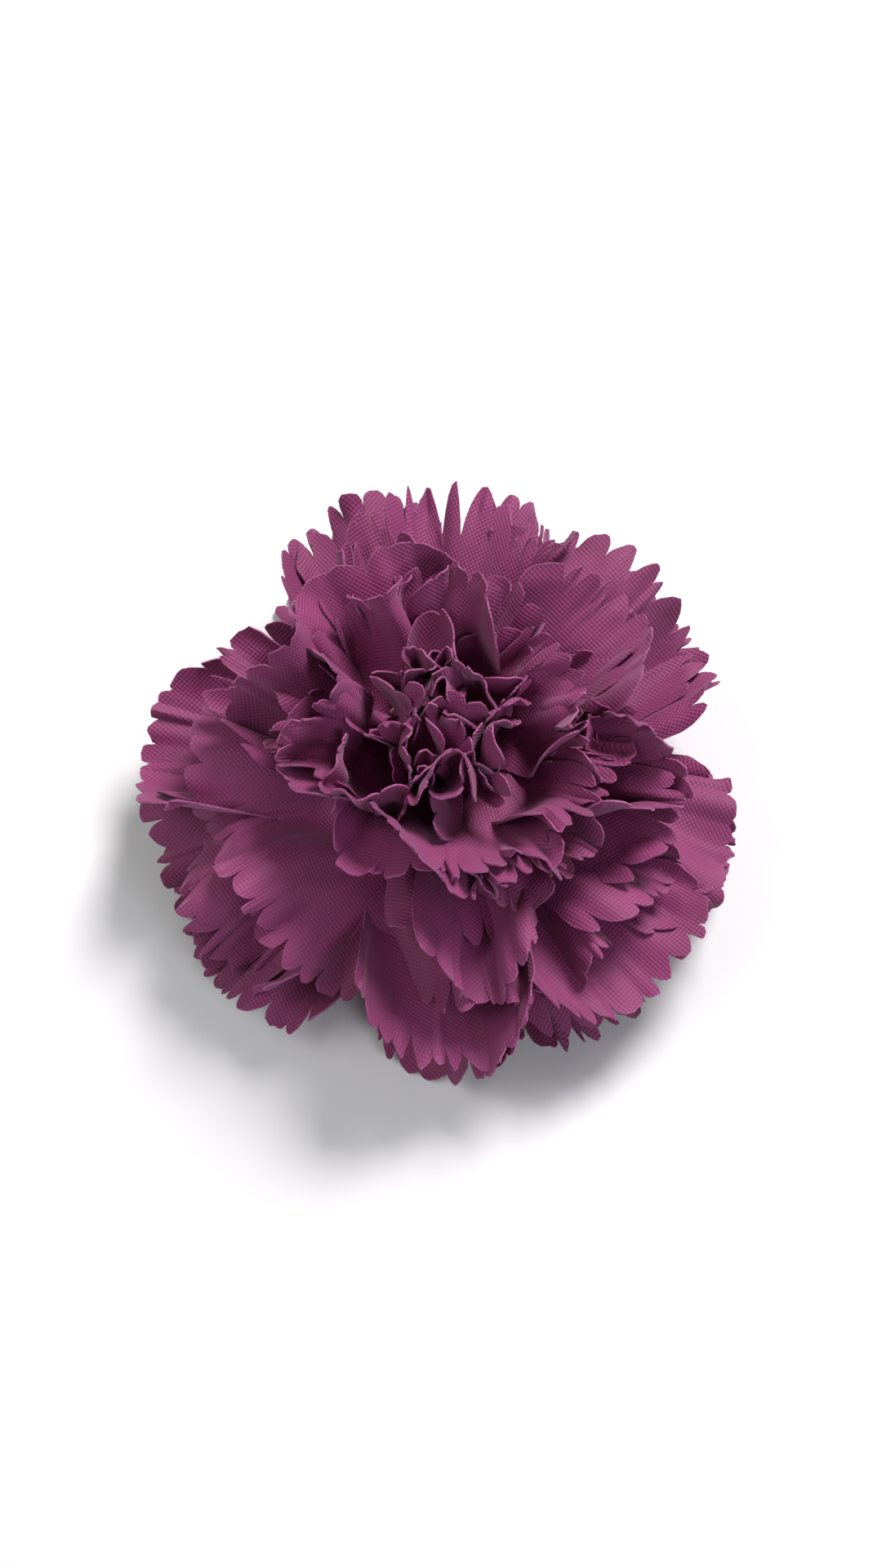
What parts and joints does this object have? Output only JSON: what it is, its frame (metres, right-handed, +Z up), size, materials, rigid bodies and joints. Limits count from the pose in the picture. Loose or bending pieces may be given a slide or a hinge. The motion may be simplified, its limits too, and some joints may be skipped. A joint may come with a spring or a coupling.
{
  "type": "fabric carnation flower head",
  "caption": "Stemless carnation head of die-cut cloth petal discs with pinked edges, stacked on a plastic peg in a green calyx; lies on a table or takes a wire stem",
  "frame": {"origin": "under the middle of the whole head, on the surface that it lies on", "axes": "+Z up through the flower, its shortest extent; -Y the head's front, where the petals spread lowest; +Y its back, where they stand highest"},
  "size_m": [0.0908, 0.0908, 0.0476],
  "materials": {
    "petal_cloth": "plain-woven polyester, dyed plum, stiffened, with pinked raw edges",
    "green_plastic": "injection-moulded polyethylene, satin"
  },
  "bodies": {
    "root": {"calyx": "green_plastic", "peg": "green_plastic", "spacer_under_middle": "green_plastic", "spacer_under_inner": "green_plastic", "spacer_under_heart": "green_plastic", "petal_disc_outer_1": "petal_cloth", "petal_disc_outer_2": "petal_cloth", "petal_disc_outer_3": "petal_cloth", "petal_disc_outer_4": "petal_cloth", "petal_disc_middle_1": "petal_cloth", "petal_disc_middle_2": "petal_cloth", "petal_disc_middle_3": "petal_cloth", "petal_disc_inner_1": "petal_cloth", "petal_disc_inner_2": "petal_cloth", "petal_disc_inner_3": "petal_cloth", "petal_disc_inner_4": "petal_cloth", "petal_disc_heart_1": "petal_cloth", "petal_disc_heart_2": "petal_cloth", "petal_disc_heart_3": "petal_cloth", "petal_disc_heart_4": "petal_cloth", "button": "green_plastic"}
  },
  "joints": []
}
